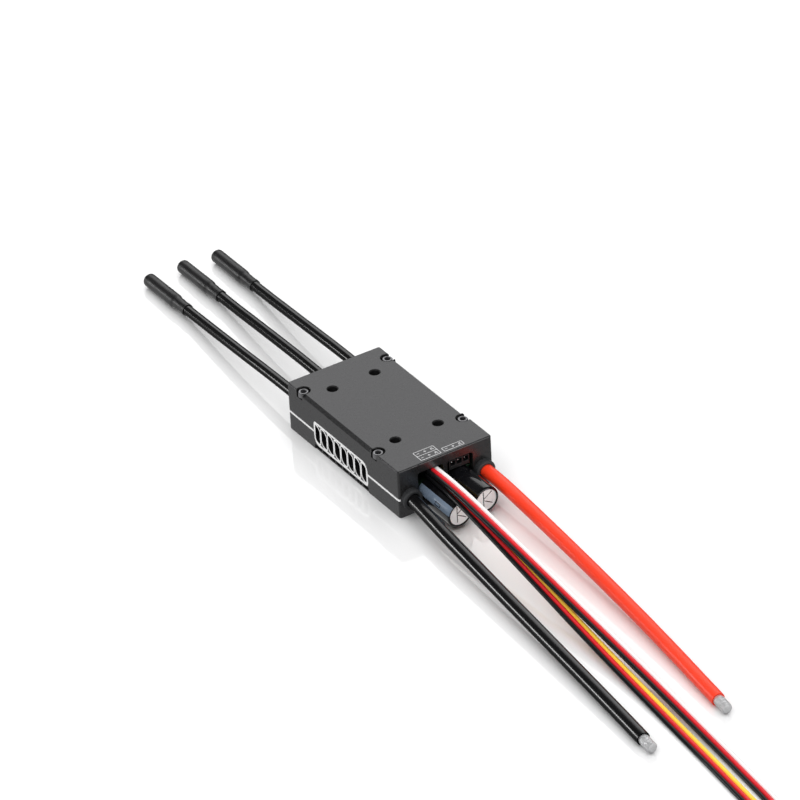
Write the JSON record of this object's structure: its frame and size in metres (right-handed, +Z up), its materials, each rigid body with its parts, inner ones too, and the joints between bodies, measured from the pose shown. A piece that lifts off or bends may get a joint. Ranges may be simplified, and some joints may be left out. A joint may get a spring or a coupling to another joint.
{
  "type": "brushless electronic speed controller",
  "caption": "Flat black finned speed controller with front capacitors, power and motor wires, and three-core leads that plug into its front.",
  "frame": {"origin": "on the resting plane, under the middle of the box of the case with its capacitors and cable grommets", "axes": "+X to the right seen from the battery side, +Y towards the motor wires, +Z up; the battery side and the leads are at -Y"},
  "size_m": [0.0838, 0.4097, 0.0183],
  "materials": {
    "case": "satin black anodised",
    "screws": "black oxide",
    "pad": "matte",
    "boards": "satin solder mask",
    "chips": "matte moulded",
    "plugs": "satin moulded",
    "contacts": "gold plated",
    "capacitor_sleeve": "shrunk film with a grey-blue stripe",
    "capacitor_can": "bright with scored vent lines",
    "grommets": "matte",
    "black_silicone": "satin silicone",
    "red_silicone": "satin silicone",
    "tinned_copper": "bright tinned strands",
    "heat_shrink": "satin",
    "lead_jacket": "satin, three cores: black, red and white or yellow"
  },
  "bodies": {
    "controller": {"top_shell": "case", "bottom_shell": "case", "case_screw_left_rear": "screws", "case_screw_left_front": "screws", "case_screw_right_rear": "screws", "case_screw_right_front": "screws", "thermal_pad": "pad", "power_board": "boards", "control_board": "boards", "mosfet_left_1": "chips", "mosfet_right_1": "chips", "mosfet_left_2": "chips", "mosfet_right_2": "chips", "mosfet_left_3": "chips", "mosfet_right_3": "chips", "microcontroller": "chips", "bec_inductor": "chips", "signal_header": "plugs", "throttle_pin_minus": "contacts", "throttle_pin_plus": "contacts", "throttle_pin_signal": "contacts", "rpm_pin_minus": "contacts", "rpm_pin_plus": "contacts", "rpm_pin_signal": "contacts", "programming_header": "plugs", "programming_pin_minus": "contacts", "programming_pin_plus": "contacts", "programming_pin_signal": "contacts", "capacitor_sleeve_left": "capacitor_sleeve", "capacitor_can_left": "capacitor_can", "capacitor_sleeve_right": "capacitor_sleeve", "capacitor_can_right": "capacitor_can", "power_grommet_minus": "grommets", "power_grommet_plus": "grommets", "motor_grommet_a": "grommets", "motor_grommet_b": "grommets", "motor_grommet_c": "grommets", "power_wire_minus": "black_silicone", "tinned_end_minus": "tinned_copper", "power_wire_plus": "red_silicone", "tinned_end_plus": "tinned_copper", "motor_wire_a": "black_silicone", "heat_shrink_a": "heat_shrink", "bullet_socket_a": "contacts", "motor_wire_b": "black_silicone", "heat_shrink_b": "heat_shrink", "bullet_socket_b": "contacts", "motor_wire_c": "black_silicone", "heat_shrink_c": "heat_shrink", "bullet_socket_c": "contacts"},
    "throttle_cable": {"throttle_plug": "plugs", "throttle_lead": "lead_jacket", "throttle_end_plug": "plugs"},
    "rpm_cable": {"rpm_plug": "plugs", "rpm_lead": "lead_jacket", "rpm_end_plug": "plugs"}
  },
  "joints": [
    {"name": "throttle_plug_pull", "type": "slide", "parent": "controller", "child": "throttle_cable", "axis": [0, -1, 0], "range_m": [0, 0.006]},
    {"name": "rpm_plug_pull", "type": "slide", "parent": "controller", "child": "rpm_cable", "axis": [0, -1, 0], "range_m": [0, 0.006]}
  ]
}
